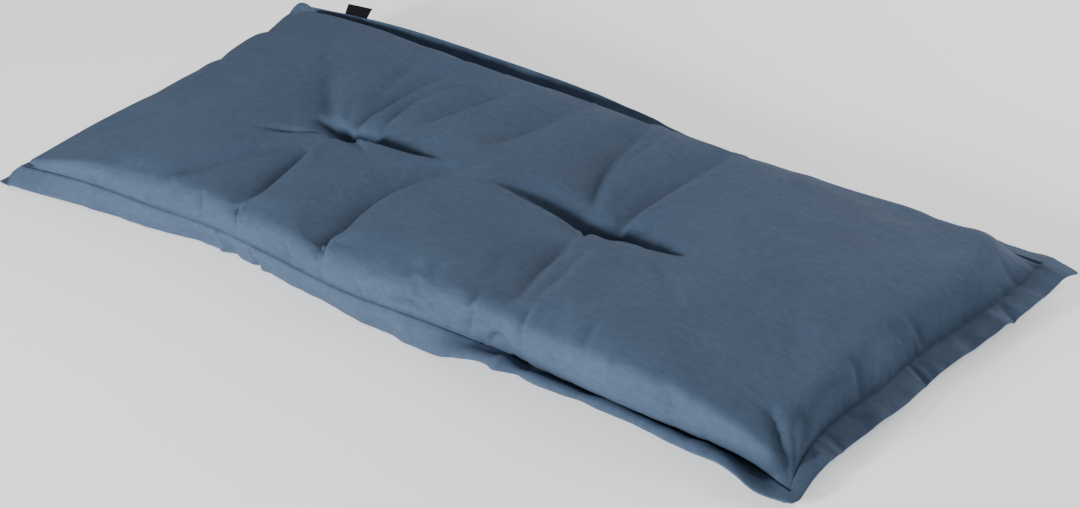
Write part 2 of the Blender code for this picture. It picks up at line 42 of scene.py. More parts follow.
pad = {
    "halfLength": 0.572,         # from the middle to the seam
    "halfWidth": 0.236,
    "flangeWidth": 0.030,
    "flangeThickness": 0.003,
    "wallBand": 0.046,           # panel width of the wall and shoulder, inside the seam
    "profileSteps": 128,
    "turnShares": (0.30, 1.0),   # part of the wall's cloth over which it turns level
    "overhangTurnShares": (0.57, 0.71),
    "gentleLean": 40.0,          # lean in degrees of the flattest wall; 90 is upright
    "overhangLean": 178.0,       # lean at the foot of a fully overhanging wall
    "overhangShare": 0.31,       # part of the wall's cloth over which the overhang dies out
    "flangeBend": 2.0,           # how late the flange turns from its root's slope to its edge's
    "bendSteps": 12,
    "groundClearance": 0.0004,
    "centring": (0.0003, -0.0040, 0.0),    # moves the finished pieces to the solids' origin
    "shoulderLine": 0.190,       # distance of the front and far crown heights from the middle
    "crownLimit": 1.15,          # how far past those lines the crown's parabola is followed
    "leastRise": 0.004,          # least height of the crown over the higher seam
    # where along the side, how far out the seam lies, its height, the wall's lean,
    # how far the flange points below level at its root and at its edge, and its width
    "stationColumns": ("along", "out", "height", "lean", "root", "edge", "width"),
    "frontSide": (
        (-0.572, 0.238, 0.022, 84, 36, 44, 0.03),
        (-0.46, 0.231, 0.029, 90, 56, 64, 0.03),
        (-0.33, 0.226, 0.03, 92, 66, 70, 0.03),
        (-0.23, 0.221, 0.03, 92, 74, 70, 0.03),
        (-0.13, 0.227, 0.03, 92, 62, 74, 0.03),
        (0, 0.238, 0.03, 94, 60, 76, 0.03),
        (0.13, 0.232, 0.029, 98, 50, 68, 0.03),
        (0.2, 0.226, 0.024, 116, 4, 80, 0.03),
        (0.28, 0.22, 0.015, 134, 2, 90, 0.028),
        (0.36, 0.213, 0.009, 148, 4, 80, 0.026),
        (0.45, 0.211, 0.007, 150, 4, 66, 0.037),
        (0.495, 0.215, 0.008, 148, 2, 42, 0.037),
        (0.53, 0.225, 0.008, 134, 2, 8, 0.037),
        (0.572, 0.24, 0.01, 104, 0, 24, 0.014),
    ),
    # how many degrees the front flange rolls up before it hangs down
    "rollColumns": ("along", "roll"),
    "frontRoll": (
        (-0.572, 0), (0.13, 0), (0.19, 34), (0.24, 50), (0.33, 60), (0.47, 56), (0.535, 36), (0.56, 10),
        (0.572, 0),
    ),
    "rollPlace": (0.51, 0.30),   # where in the flange's width, and over what reach
    "rightSide": (
        (-0.236, 0.586, 0.01, 90, 4, 24, 0.012),
        (-0.2, 0.572, 0.017, 90, 12, 30, 0.02),
        (-0.15, 0.562, 0.02, 88, 14, 26, 0.028),
        (-0.06, 0.564, 0.021, 84, 12, 24, 0.03),
        (0.01, 0.56, 0.021, 82, 14, 26, 0.03),
        (0.09, 0.565, 0.021, 76, 6, 22, 0.03),
        (0.17, 0.571, 0.023, 62, 8, 14, 0.03),
        (0.236, 0.571, 0.03, 34, 14, 24, 0.03),
    ),
    "farSide": (
        (-0.572, 0.24, 0.049, 90, -44, -58, 0.03),
        (-0.42, 0.245, 0.052, 94, -46, -62, 0.031),
        (-0.23, 0.245, 0.047, 94, -44, -58, 0.031),
        (-0.08, 0.241, 0.042, 92, -36, -48, 0.031),
        (0.08, 0.235, 0.035, 92, -6, -16, 0.03),
        (0.2, 0.229, 0.027, 94, 16, 10, 0.03),
        (0.32, 0.227, 0.024, 94, 16, 14, 0.03),
        (0.44, 0.228, 0.022, 88, 14, 12, 0.03),
        (0.5, 0.228, 0.028, 68, 4, 12, 0.03),
        (0.54, 0.229, 0.031, 62, 10, 20, 0.03),
        (0.572, 0.231, 0.029, 46, 10, 22, 0.03),
    ),
    "leftSide": (
        (-0.236, 0.57, 0.022, 80, 32, 40, 0.03),
        (-0.12, 0.56, 0.028, 84, 40, 60, 0.03),
        (0, 0.56, 0.034, 86, 36, 58, 0.03),
        (0.12, 0.568, 0.04, 88, 24, 44, 0.03),
        (0.236, 0.574, 0.047, 86, -30, -36, 0.03),
    ),
    # height of the crown along the front shoulder, the middle and the far shoulder
    "crownColumns": ("along", "front", "middle", "far"),
    "crown": (
        (-0.54, 0.046, 0.066, 0.085),
        (-0.46, 0.057, 0.077, 0.085),
        (-0.34, 0.066, 0.083, 0.083),
        (-0.2, 0.069, 0.084, 0.077),
        (-0.05, 0.071, 0.084, 0.075),
        (0.11, 0.073, 0.082, 0.072),
        (0.26, 0.077, 0.082, 0.071),
        (0.4, 0.077, 0.08, 0.067),
        (0.54, 0.066, 0.068, 0.063),
    ),
    # a, b, how far the crown is drawn down, over what reach, and how round the flange's corner is
    "corners": (
        (-0.572, -0.236, 0.024, 0.09, 0),
        (-0.572, 0.236, 0.008, 0.06, 0.9),
        (0.572, -0.236, 0.03, 0.085, 1),
        (0.572, 0.236, -0.012, 0.056, 0),
    ),
    # a, b, depth, reach along and reach across
    "tufts": (
        (-0.219, -0.027, 0.03, 0.056, 0.044),
        (0.198, -0.026, 0.033, 0.056, 0.044),
    ),
    "tuftRounding": 0.004,
    "tuftFrontShare": 0.62,      # reach on the front side over reach on the far side
    # start, middle and end of each fold in the panel (a, b), its depth at each of them and its width, all in
    # millimetres, and how much steeper its left side is than its right (seen from its start)
    "folds": (
        # from the left tuft
        (-206, -25, -250, -13, -294, -14, 22, 24, 0, 15, -0.5),
        (-228, -32, -276, -44, -326, -76, 10, 11, 0, 7, -0.4),
        (-220, -36, -256, -84, -302, -176, 10, 9, 4, 11, 0.6),
        (-236, -48, -220, -106, -194, -178, 5, 17, 6, 18, 0.8),
        (-222, -22, -248, 8, -282, 46, 10, 9, 0, 11, -0.4),
        (-228, -22, -294, 16, -366, 86, 6, 9, 3, 22, -0.5),
        (-218, -16, -232, 66, -214, 170, 13, 15, 1, 16, -0.85),
        (-244, 36, -266, 96, -276, 170, 4, 8, 0, 16, -0.75),
        (-184, -2, -202, 78, -166, 168, 9, 9, 1, 14, -0.8),
        (-146, 36, -131, 100, -110, 172, 3, 10, 0, 14, -0.85),
        (-32, 26, -24, 96, -12, 166, 0, 8, 1, 17, -0.8),
        # between the tufts, and the long fold in the middle of the front half
        (-226, -34, -148, -14, -44, -12, 32, 19, 0, 13, -0.7),
        (-224, -24, -198, -20, -160, -15, 14, 36, 14, 12, -0.6),
        (15, -20, 118, -12, 216, -26, 0, 15, 28, 14, -0.6),
        (-22, -20, -58, -90, -46, -180, 4, 19, 14, 18, 0.85),
        # from the right tuft
        (186, -28, 256, -22, 330, -34, 30, 15, 0, 11, -0.6),
        (180, -46, 194, -112, 218, -192, 5, 14, 3, 18, 0.75),
        (220, -80, 232, -132, 240, -190, 2, 6, 1, 12, 0.7),
        (196, -16, 200, 85, 213, 190, 13, 13, 2, 18, -0.8),
        (160, 6, 106, 94, 86, 190, 6, 13, 4, 18, -0.8),
        (143, 66, 121, 136, 121, 188, 2, 6, 1, 12, -0.7),
        # at the front right corner, and at the left end
        (510, -180, 534, -194, 556, -210, 1, 8, 3, 7, 0.6),
        (530, -156, 548, -170, 560, -188, 0, 4, 2, 7, 0.6),
        (-568, 46, -545, 50, -510, 57, 9, 7, 0, 9, -0.5),
        (-568, 138, -545, 135, -510, 130, 6, 6, 0, 12, -0.4),
    ),
    # the same columns for the small creases of the walls and the front corners
    "creases": (
        (-248, -196, -248, -206, -245, -218, 0, 3.7, 1.7, 4, 0.5),
        (-190, -194, -187, -206, -184, -220, 0, 4.8, 1, 4, 0.5),
        (-46, -178, -36, -196, -26, -214, 6, 8, 1, 5, 0.6),
        (184, -188, 178, -200, 176, -212, 0, 4.8, 0, 4, 0.5),
        (187, -206, 182, -216, 178, -228, 0, 3.7, 1.7, 4, 0.5),
        (242, -190, 248, -204, 252, -220, 0, 4.8, 1, 5, 0.5),
        (318, -190, 325, -197, 333, -206, 0, 3.7, 0, 5, 0.5),
        (420, -204, 436, -212, 456, -214, 0, 3.4, 0, 5, 0.3),
        (77, -228, 98, -221, 119, -227, 3.4, 5.1, 2, 3, 0),
        (206, -227, 220, -221, 234, -227, 3.4, 5.1, 2, 3, 0),
        (-336, -232, -331, -222, -322, -210, 3.4, 2.7, 0, 4, 0.3),
        (-438, -232, -434, -224, -430, -214, 3.4, 2.4, 0, 4, 0.3),
        (-92, -232, -94, -222, -100, -210, 3.4, 2.7, 0, 4, -0.3),
        (30, -232, 26, -224, 18, -212, 3.4, 2.4, 0, 4, -0.3),
        (566, 28, 554, 26, 538, 20, 3.4, 2.7, 0, 5, 0.3),
        (566, -86, 552, -84, 536, -78, 3.4, 3.1, 0, 5, 0.3),
    ),
    "foldSteps": 32,
    "foldReach": 7,              # how far from a fold it is worked out, in its widths
    "foldBottom": 0.22,          # rounding of a fold's bottom, in its widths
    "foldShoulder": 0.22,        # how far the cloth beside it stands up, in its depths
    "foldShoulderReach": 3.0,
    "foldFade": 0.006,           # folds die out this far inside the seam
    # the stitched seam: a groove, and puckers either side of it
    "grooveDepth": 0.0022,
    "grooveWidth": 0.0015,
    "puckerSpacing": (0.022, 0.055),
    "puckerHeight": (0.0004, 0.0013),
    "puckerWidth": (0.0025, 0.0060),
    "puckerReach": (0.006, 0.016),
    "puckerSeed": 7,
    "puckerTries": 80,           # more than a side holds
    "puckerMargin": 0.01,        # kept free before a corner
    "puckerOnFlange": 0.7,
    # shallow dents and swellings of the stuffing
    "dents": 110,
    "dentSeed": 11,
    "dentAcross": 0.215,
    "dentLength": (0.016, 0.050),
    "dentWidth": (0.008, 0.020),
    "dentDepth": 0.0011,
    # creases and bumps of the flange, in millimetres: place at the root and at the edge, width, and height
    # at the edge
    "flangeCreases": {
        "frontSide": (
            (-224, -216, 6, 4), (-204, -198, 9, -3), (-164, -156, 5, -5), (-148, -142, 7, 3.5),
            (-455, -452, 12, -2), (-348, -342, 18, 2.2), (-40, -34, 16, -2.2), (92, 100, 14, 3),
            (176, 170, 10, -3), (236, 230, 8, 6), (256, 252, 8, -4), (350, 352, 16, 3),
            (470, 474, 12, 3.5),
        ),
        "rightSide": (
            (149, 138, 3, -4.2), (126, 122, 8, 3), (-5, -12, 3, -4), (16, 10, 8, 2.5),
            (-152, -156, 5, -3.5), (-178, -182, 6, 3), (70, 66, 14, -1.8), (-90, -94, 14, 2),
        ),
        "farSide": (
            (-500, -502, 16, 3), (-400, -396, 18, -1.2), (-300, -302, 14, 1.2), (-170, -166, 16, -1.5),
            (-60, -56, 18, 2.4), (350, 346, 16, 2),
        ),
        "leftSide": (
            (40, 46, 10, 4.5), (62, 66, 10, -4), (140, 148, 10, 4), (-80, -78, 16, 3),
            (-150, -152, 16, -2.5),
        ),
    },
    "creaseGrowth": 0.6,
    # length, height and phase of the slow waves, and how far round they start at the ends and at the sides
    "flangeWaves": ((0.118, 0.0008, 0.4), (0.067, 0.0007, 1.9), (0.031, 0.0004, 4.1)),
    "waveStarts": (2.1, -0.7),
    # grid of the finished cloth: crown cells along and across, wall lines at the ends and at the long sides
    "crownCells": (330, 118),
    "endWallLines": 14,
    "longWallLines": 24,
    "wallCrowding": 1.25,        # how much closer the wall's lines stand near the seam
    "flangeLines": (0, 0.0002, 0.0007, 0.0015, 0.0055, 0.01, 0.0145, 0.019, 0.0225, 0.0255, 0.0275, 0.0286,
                    0.0293, 0.03),
    "wallStretch": 1.9,          # cloth length of the wall over its panel band
    # places, reaches and added shares of the closer lines
    "closeAlong": ((-0.20, 0.09, 1.2), (0.19, 0.09, 1.2), (-0.02, 0.05, 0.5)),
    "closeAcross": ((-0.011, 0.06, 0.8),),
    "densitySteps": 2000,
    # the underside
    "undersideReach": 0.050,
    "undersidePower": 1.7,
    "undersideSteps": 9,
    # how far its corners are drawn in, over what reach, and how fast below the seam
    "undersideRounding": (0.013, 0.035, 2.5),
}
halfLength, halfWidth = pad["halfLength"], pad["halfWidth"]
ends = ("rightSide", "leftSide")


def bell(distance, reach):
    # e to the minus square of the distance in reaches
    return np.exp(-(distance / reach) ** 2)


def runningSum(steps):
    # sum of the steps up to each place, from nothing
    return np.concatenate(([0], np.cumsum(steps)))


def betweenPairs(values):
    # mean of each value and the next
    return (values[1:] + values[:-1]) / 2


def gridQuads(index):
    # one face for each cell of a grid of vertex numbers; a transposed or mirrored grid turns them over
    return np.stack([index[:-1, :-1], index[1:, :-1], index[1:, 1:], index[:-1, 1:]], axis=-1).reshape(-1, 4)


def tableColumn(table, names, name, where):
    # smooth curve through one column: cubic pieces, each with the slopes of its neighbours
    rows = np.array(table, float)
    stations, values = rows[:, 0], rows[:, names.index(name)]
    slopes = np.gradient(values, stations)
    where = np.clip(where, stations[0], stations[-1])
    piece = np.clip(np.searchsorted(stations, where) - 1, 0, len(stations) - 2)
    span = stations[piece + 1] - stations[piece]
    t = (where - stations[piece]) / span
    start = values[piece] * (1 + 2 * t) * (1 - t) ** 2
    end = values[piece + 1] * t * t * (3 - 2 * t)
    return start + end + span * t * (1 - t) * (slopes[piece] * (1 - t) - slopes[piece + 1] * t)


def sideColumn(side, name, where):
    # that column of the side's table at those places along it
    return tableColumn(pad[side], pad["stationColumns"], name, where)


def wallProfile(lean):
    # cloth of unit length from the seam: it starts at the lean angle and turns level; its way in and up is
    # the running sum of the angle's cosines and sines
    along = np.linspace(0, 1, pad["profileSteps"] + 1)
    start, end = pad["overhangTurnShares"] if lean > 90 else pad["turnShares"]
    turn = np.clip((along - start) / (end - start), 0, 1)
    angle = np.radians(min(lean, 90)) * (1 - turn * turn * (3 - 2 * turn))
    angle = angle + np.radians(max(lean - 90, 0)) * bell(along, pad["overhangShare"])
    inward, upward = (runningSum(betweenPairs(part(angle)) * along[1]) for part in (np.cos, np.sin))
    return along, inward, upward


wallShapes = {lean: wallProfile(lean) for lean in (pad["gentleLean"], 90.0, pad["overhangLean"])}


def crownHeight(a, b):
    # three long lines of heights joined across by a parabola, less a bell-shaped dip at each corner
    front, middle, far = (tableColumn(pad["crown"], pad["crownColumns"], name, a)
                          for name in ("front", "middle", "far"))
    t = np.clip(b / pad["shoulderLine"], -pad["crownLimit"], pad["crownLimit"])
    height = middle + (far - front) / 2 * t + ((far + front) / 2 - middle) * t * t
    for along, across, drop, reach, _ in pad["corners"]:
        height = height - drop * bell(np.hypot(a - along, b - across), reach)
    return height


def tuftPull(a, b):
    # a rounded cusp at each tuft: depth times e to the minus distance in reaches, shorter on the front side
    pull = np.zeros(a.shape)
    for along, across, depth, reachAlong, reachAcross in pad["tufts"]:
        reachHere = reachAcross * np.where(b < across, pad["tuftFrontShare"], 1)
        away = np.hypot((a - along) / reachAlong, (b - across) / reachHere)
        rounded = np.sqrt(away * away + pad["tuftRounding"]) - np.sqrt(pad["tuftRounding"])
        pull = pull + depth * np.exp(-rounded)
    return pull


def riseShare(fromSeam):
    # share of the full height that the upright wall has reached
    along, _, upward = wallShapes[90.0]
    return np.interp(np.clip(fromSeam / pad["wallBand"], 0, 1), along, upward) / upward[-1]


def wall(side, where, fromSeam, height, fullness):
    # mix of the gentle, upright and overhanging profiles by the side's lean, scaled to the height over the
    # seam; near the other side's seam (fullness 0) the points are evenly spaced instead
    share = np.clip(fromSeam / pad["wallBand"], 0, 1)
    lean = sideColumn(side, "lean", where)
    overhang = np.clip((lean - 90) / (pad["overhangLean"] - 90), 0, 1) * fullness
    gentle = np.clip((90 - lean) / (90 - pad["gentleLean"]), 0, 1)
    weights = {pad["gentleLean"]: gentle, 90.0: 1 - gentle - overhang, pad["overhangLean"]: overhang}
    inset, fullInset, rise, fullRise = 0, 0, 0, 0
    for shape, weight in weights.items():
        along, inward, upward = wallShapes[shape]
        inset = inset + weight * np.interp(share, along, inward)
        rise = rise + weight * np.interp(share, along, upward)
        fullInset = fullInset + weight * inward[-1]
        fullRise = fullRise + weight * upward[-1]
    scale = (height - sideColumn(side, "height", where)) / fullRise
    placed = share * pad["wallBand"] * (1 - fullness) + inset * scale * fullness
    placedEnd = pad["wallBand"] * (1 - fullness) + fullInset * scale * fullness
    return placed, placedEnd, rise / fullRise


def placeBetween(lowSide, highSide, across, position, half, height, fullness):
    # in from the nearer seam over the walls, evenly spaced between the two shoulders
    lowOut, highOut = -sideColumn(lowSide, "out", across), sideColumn(highSide, "out", across)
    lowInset, lowFull, lowRise = wall(lowSide, across, half + position, height, fullness)
    highInset, highFull, highRise = wall(highSide, across, half - position, height, fullness)
    shoulder = half - pad["wallBand"]
    even = np.clip((position + shoulder) / (2 * shoulder), 0, 1)
    placed = (lowOut + lowFull) * (1 - even) + (highOut - highFull) * even
    placed = np.where(position < -shoulder, lowOut + lowInset, placed)
    placed = np.where(position > shoulder, highOut - highInset, placed)
    return placed, lowRise * highRise


def nearerSide(lowSide, highSide, where, position, name):
    # that column of the low side where position is negative, of the high side elsewhere
    return np.where(position < 0, sideColumn(lowSide, name, where), sideColumn(highSide, name, where))


def padSurface(a, b):
    # x and y from the two pairs of sides; z is the seam's height plus the crown over it times both rises
    innerA, innerB = np.clip(a, -halfLength, halfLength), np.clip(b, -halfWidth, halfWidth)
    fromEnd, fromSide = halfLength - np.abs(innerA), halfWidth - np.abs(innerB)
    endSeam = nearerSide("leftSide", "rightSide", innerB, innerA, "height")
    sideSeam = nearerSide("frontSide", "farSide", innerA, innerB, "height")
    nearEnd = (fromSide + 1e-6) / (fromSide + fromEnd + 2e-6)
    seam = endSeam * nearEnd + sideSeam * (1 - nearEnd)
    height = np.maximum(crownHeight(innerA, innerB), np.maximum(endSeam, sideSeam) + pad["leastRise"])
    x, riseA = placeBetween("leftSide", "rightSide", innerB, innerA, halfLength, height, riseShare(fromSide))
    y, riseB = placeBetween("frontSide", "farSide", innerA, innerB, halfWidth, height, riseShare(fromEnd))
    z = seam + (height - tuftPull(innerA, innerB) - seam) * riseA * riseB
    return np.stack([x, y, z], axis=-1)


def flangeReach(a, b):
    # shares of the flange's width past the end seam and past the side seam; a round corner maps the
    # corner square to a quarter disc
    pastEnd = np.clip(np.abs(a) - halfLength, 0, None) / pad["flangeWidth"]
    pastSide = np.clip(np.abs(b) - halfWidth, 0, None) / pad["flangeWidth"]
    roundness = np.zeros(pastEnd.shape)
    for along, across, _, _, cornerRoundness in pad["corners"]:
        here = (np.sign(a) == np.sign(along)) & (np.sign(b) == np.sign(across))
        roundness = np.where(here, cornerRoundness, roundness)
    roundEnd = pastEnd * np.sqrt(1 - pastSide ** 2 / 2)
    roundSide = pastSide * np.sqrt(1 - pastEnd ** 2 / 2)
    return pastEnd + (roundEnd - pastEnd) * roundness, pastSide + (roundSide - pastSide) * roundness


def flangeSlope(root, edge, roll, past):
    # angle below level: from the root's to the edge's, less the bell of roll
    place, reach = pad["rollPlace"]
    return np.radians(root + (edge - root) * past ** pad["flangeBend"] - roll * bell(past - place, reach))


def flangeMiddle(a, b):
    # middle layer of the flange and its normal: from the seam outward, its slope turning from root to edge,
    # less a bell of roll at the front; the way out and down is the mean cosine and sine of the slopes so far
    points = padSurface(a, b)
    innerA, innerB = np.clip(a, -halfLength, halfLength), np.clip(b, -halfWidth, halfWidth)
    pastEnd, pastSide = flangeReach(a, b)
    normal = np.zeros(points.shape)
    normal[..., 2] = 1.0
    parts = (np.arange(pad["bendSteps"]) + 0.5) / pad["bendSteps"]
    for low, high, where, position, past, half, axis in (
        ("leftSide", "rightSide", innerB, a, pastEnd, halfLength, 0),
        ("frontSide", "farSide", innerA, b, pastSide, halfWidth, 1),
    ):
        root, edge, width = (nearerSide(low, high, where, position, name)
                             for name in ("root", "edge", "width"))
        roll = tableColumn(pad["frontRoll"], pad["rollColumns"], "roll", where) * (position < 0) * axis
        slopes = flangeSlope(root, edge, roll, np.multiply.outer(parts, past))
        points[..., axis] += np.sign(position) * width * past * np.cos(slopes).mean(axis=0)
        points[..., 2] -= width * past * np.sin(slopes).mean(axis=0)
        slope = flangeSlope(root, edge, roll, past) * (half - np.abs(position) < 1e-9)
        normal[..., axis] = np.sign(position) * np.sin(slope)
        normal[..., 2] *= np.cos(slope)
    normal /= np.linalg.norm(normal, axis=-1, keepdims=True)
    points[..., 2] = np.maximum(points[..., 2], pad["flangeThickness"] / 2 + pad["groundClearance"])
    return points, normal


def seamDistance(a, b):
    # panel distance inside the seam, negative on the flange
    return np.minimum(halfLength - np.abs(a), halfWidth - np.abs(b))


def flangeHalf(a, b):
    # half the flange's thickness: full over the width, rounded off to nothing at the very edge
    half = pad["flangeThickness"] / 2
    toEdge = pad["flangeWidth"] - np.clip(-seamDistance(a, b), 0, None)
    return half * np.sqrt(np.clip(1 - np.clip(1 - toEdge / half, 0, 1) ** 2, 0, 1))


def throughThree(start, middle, end, t):
    # parabola through its three values at t = 0, 0.5 and 1
    return start * (1 - t) * (1 - 2 * t) + middle * 4 * t * (1 - t) + end * t * (2 * t - 1)


def lineDistance(a, b, lineA, lineB, values):
    # signed distance of every point to a line of short pieces, and the line's value at the nearest place
    nearest = np.full(a.shape, 1e9)
    signed = np.full(a.shape, 1e9)
    value = np.zeros(a.shape)
    for k in range(len(lineA) - 1):
        runA, runB = lineA[k + 1] - lineA[k], lineB[k + 1] - lineB[k]
        t = np.clip(((a - lineA[k]) * runA + (b - lineB[k]) * runB) / (runA ** 2 + runB ** 2), 0, 1)
        offA, offB = a - lineA[k] - t * runA, b - lineB[k] - t * runB
        away = np.hypot(offA, offB)
        closer = away < nearest
        nearest = np.where(closer, away, nearest)
        signed = np.where(closer, away * np.sign(runA * offB - runB * offA), signed)
        value = np.where(closer, values[k] + t * (values[k + 1] - values[k]), value)
    return signed, value


def foldDepth(a, b, table):
    # a groove along each fold: depth times e to the minus distance in widths, steeper on one side; where
    # folds meet they join as the cube root of the sum of cubes; beside each the cloth stands up a little
    grooves = np.zeros(a.shape)
    shoulders = np.zeros(a.shape)
    t = np.linspace(0, 1, pad["foldSteps"] + 1)
    for *sizes, steep in pad[table]:
        *places, startDepth, midDepth, endDepth, width = np.array(sizes) / 1000
        lineA, lineB = throughThree(*places[::2], t), throughThree(*places[1::2], t)
        depths = np.clip(throughThree(startDepth, midDepth, endDepth, t), 0, None)
        reach = pad["foldReach"] * width
        near = ((a > lineA.min() - reach) & (a < lineA.max() + reach)
                & (b > lineB.min() - reach) & (b < lineB.max() + reach))
        signed, depth = lineDistance(a[near], b[near], lineA, lineB, depths)
        bottom = pad["foldBottom"] * width
        rounded = np.sqrt(signed ** 2 + bottom ** 2) - bottom
        sided = width * (1 - steep * np.tanh(signed / width))
        grooves[near] += (depth * (1 + pad["foldShoulder"]) * np.exp(-rounded / sided)) ** 3
        shoulders[near] += depth * pad["foldShoulder"] * bell(signed, pad["foldShoulderReach"] * width)
    return np.cbrt(grooves) - shoulders


def gridLines(half, cells, wallLines, closePlaces):
    # panel coordinates of the grid lines: flange, wall, crown (closer near the given places), wall, flange
    shoulder = half - pad["wallBand"]
    fine = np.linspace(-shoulder, shoulder, pad["densitySteps"] + 1)
    density = np.ones(fine.shape)
    for place, reach, extra in closePlaces:
        density += extra * bell(fine - place, reach)
    total = runningSum(betweenPairs(density))
    crown = np.interp(np.linspace(0, total[-1], cells + 1), total, fine)
    flange = half + pad["flangeWidth"] - np.array(pad["flangeLines"])
    inWall = half - pad["wallBand"] * (np.arange(1, wallLines) / wallLines) ** pad["wallCrowding"]
    outer = np.concatenate([flange, inWall])
    return np.concatenate([-outer, crown, outer[::-1]])


def gridNormals(points):
    # cross product of the two directions of the grid, made one long
    normals = np.cross(np.gradient(points, axis=0), np.gradient(points, axis=1))
    return normals / np.maximum(np.linalg.norm(normals, axis=-1, keepdims=True), 1e-12)


def sideView(side, a, b):
    # the coordinate along that side, the one towards it, and how far its seam is from the middle
    along, across, seam = (b, a, halfLength) if side in ends else (a, b, halfWidth)
    return along, across * (1 if side in ("rightSide", "farSide") else -1), seam


def placePuckers():
    # seeded places, widths, reaches and heights of the puckers along each side
    rng = np.random.default_rng(pad["puckerSeed"])
    rows = []
    for side in ("frontSide", "rightSide", "farSide", "leftSide"):
        half = halfWidth if side in ends else halfLength
        places = np.cumsum(rng.uniform(*pad["puckerSpacing"], pad["puckerTries"])) - half
        places = places[places < half - pad["puckerMargin"]]
        rows.append((side, places, *(rng.uniform(*pad[name], len(places))
                                     for name in ("puckerWidth", "puckerReach", "puckerHeight"))))
    return rows


puckerRows = placePuckers()


def puckerDepth(a, b):
    # each pucker is a bell along the seam that fades as a bell away from it
    depth = np.zeros(a.shape)
    for side, places, widths, reaches, heights in puckerRows:
        along, toward, seam = sideView(side, a, b)
        away = seam - toward
        near = np.abs(away) < 3 * pad["puckerReach"][1]
        for place, width, reach, height in zip(places, widths, reaches, heights):
            here = near & (np.abs(along - place) < 4 * width)
            depth[here] += height * np.exp(-((along[here] - place) / width) ** 2 - (away[here] / reach) ** 2)
    return depth


def softDents(a, b):
    # seeded dents and swellings, each a bell turned its own way
    rng = np.random.default_rng(pad["dentSeed"])
    depth = np.zeros(a.shape)
    for _ in range(pad["dents"]):
        along = rng.uniform(-halfLength, halfLength)
        across = rng.uniform(-pad["dentAcross"], pad["dentAcross"])
        longer, shorter = rng.uniform(*pad["dentLength"]), rng.uniform(*pad["dentWidth"])
        height, turn = rng.uniform(-1, 1) * pad["dentDepth"], rng.uniform(0, np.pi)
        near = (np.abs(a - along) < 3 * longer) & (np.abs(b - across) < 3 * longer)
        forth = (a[near] - along) * np.cos(turn) + (b[near] - across) * np.sin(turn)
        aside = (b[near] - across) * np.cos(turn) - (a[near] - along) * np.sin(turn)
        depth[near] += height * np.exp(-(forth / longer) ** 2 - (aside / shorter) ** 2)
    return depth


def flangeRipple(a, b):
    # listed creases and slow waves, growing from nothing at the seam to full height at the edge
    pastEnd, pastSide = flangeReach(a, b)
    ripple = np.zeros(a.shape)
    for side, rows in pad["flangeCreases"].items():
        along, toward, _ = sideView(side, a, b)
        past = pastEnd if side in ends else pastSide
        for atRoot, atEdge, width, height in np.array(rows) / 1000:
            place = atRoot + (atEdge - atRoot) * past
            ripple += (toward > 0) * height * bell(along - place, width) * past ** pad["creaseGrowth"]
    endStart, sideStart = pad["waveStarts"]
    around = np.where(pastEnd > pastSide, b + endStart * np.sign(a), a + sideStart * np.sign(b))
    for wave, height, phase in pad["flangeWaves"]:
        ripple += height * np.sin(2 * np.pi * around / wave + phase) * np.maximum(pastEnd, pastSide)
    return ripple


def flangeLayers(a, b):
    # the rippled middle layer of the flange, its normal and the half thickness, with the seam's groove
    middle, normal = flangeMiddle(a, b)
    groove = pad["grooveDepth"] * bell(seamDistance(a, b), pad["grooveWidth"])
    sunk = groove + puckerDepth(a, b) * pad["puckerOnFlange"]
    middle = middle + normal * (flangeRipple(a, b) - sunk)[..., None]
    middle[..., 2] = np.maximum(middle[..., 2], pad["flangeThickness"] / 2 + pad["groundClearance"])
    return middle, normal, flangeHalf(a, b)


def topPoints(a, b, moved):
    # flange outside the seam; inside it the settled crown, less folds, creases, dents, groove and puckers
    fromSeam = seamDistance(a, b)
    crown = padSurface(a, b) + moved
    fade = np.clip(fromSeam / pad["foldFade"], 0, 1)
    depth = (foldDepth(a, b, "folds") + foldDepth(a, b, "creases") + softDents(a, b)) * fade
    depth += pad["grooveDepth"] * bell(fromSeam, pad["grooveWidth"]) + puckerDepth(a, b)
    crown = crown - gridNormals(crown) * depth[..., None]
    middle, normal, half = flangeLayers(a, b)
    flange = middle + normal * half[..., None]
    return np.where((fromSeam > 1e-9)[..., None], crown, flange), depth


def ringOf(rows, columns, inset):
    # grid places of the closed ring that many lines in from the edge, anticlockwise
    lowI, highI, lowJ, highJ = inset, rows - 1 - inset, inset, columns - 1 - inset
    i = np.concatenate([np.arange(lowI, highI), np.full(highJ - lowJ, highI),
                        np.arange(highI, lowI, -1), np.full(highJ - lowJ, lowI)])
    j = np.concatenate([np.full(highI - lowI, lowJ), np.arange(lowJ, highJ),
                        np.full(highI - lowI, highJ), np.arange(highJ, lowJ, -1)])
    return i, j


def panelPlace(c, half):
    # flat distance on the cut cloth of a panel coordinate: the wall's band is longer than it looks
    shoulder = half - pad["wallBand"]
    size = np.abs(c)
    beyond = np.clip(size - shoulder, 0, pad["wallBand"]) * (pad["wallStretch"] - 1)
    return np.sign(c) * (size + beyond)


